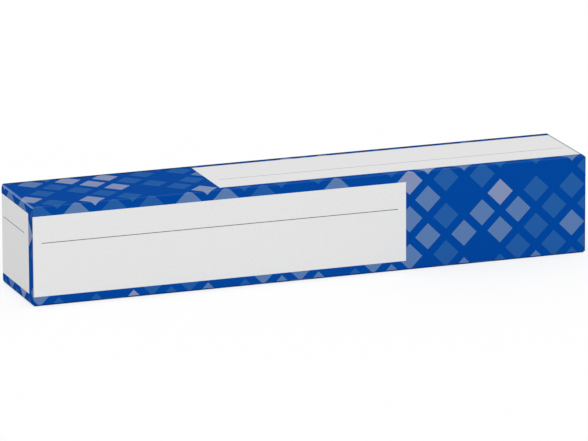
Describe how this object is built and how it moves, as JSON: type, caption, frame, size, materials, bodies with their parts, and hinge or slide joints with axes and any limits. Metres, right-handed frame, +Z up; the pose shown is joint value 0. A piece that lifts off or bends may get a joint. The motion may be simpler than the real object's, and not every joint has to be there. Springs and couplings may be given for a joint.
{
  "type": "aluminium foil roll carton",
  "caption": "Long square carton of printed board, glued shut over a roll of kitchen foil, with plain label fields on its front, lid and end.",
  "frame": {"origin": "middle of the carton's base, on the surface it stands on", "axes": "+X along the carton towards the right end of its front, -Y out of the front, +Z up out of the lid"},
  "size_m": [0.311, 0.054, 0.0537],
  "materials": {
    "printed_board": "blue print on coated board under a matt water varnish"
  },
  "bodies": {
    "root": {"foil_carton": "printed_board"}
  },
  "joints": []
}
